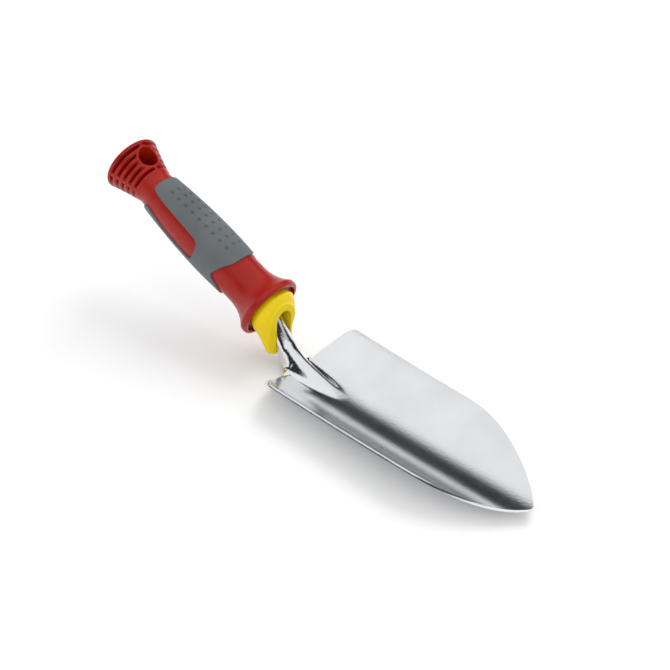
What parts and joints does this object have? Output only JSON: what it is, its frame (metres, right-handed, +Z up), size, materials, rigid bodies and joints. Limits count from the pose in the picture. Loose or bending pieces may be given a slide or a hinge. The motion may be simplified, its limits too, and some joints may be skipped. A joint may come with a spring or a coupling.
{
  "type": "hand trowel",
  "caption": "Garden hand trowel with a dished steel blade on a bent neck and a moulded handle with a soft grip and a hanging hole.",
  "frame": {"origin": "middle of the trowel's box, on the surface it lies on", "axes": "+X from the handle's butt towards the blade's tip, +Z up out of the blade's open side, blade rim level"},
  "size_m": [0.317, 0.0786, 0.0926],
  "materials": {
    "steel": "polished",
    "collar_plastic": "satin",
    "handle_plastic": "satin",
    "grip_rubber": "matte"
  },
  "bodies": {
    "root": {"blade": "steel", "collar": "collar_plastic", "handle_core": "handle_plastic", "grip": "grip_rubber"}
  },
  "joints": []
}
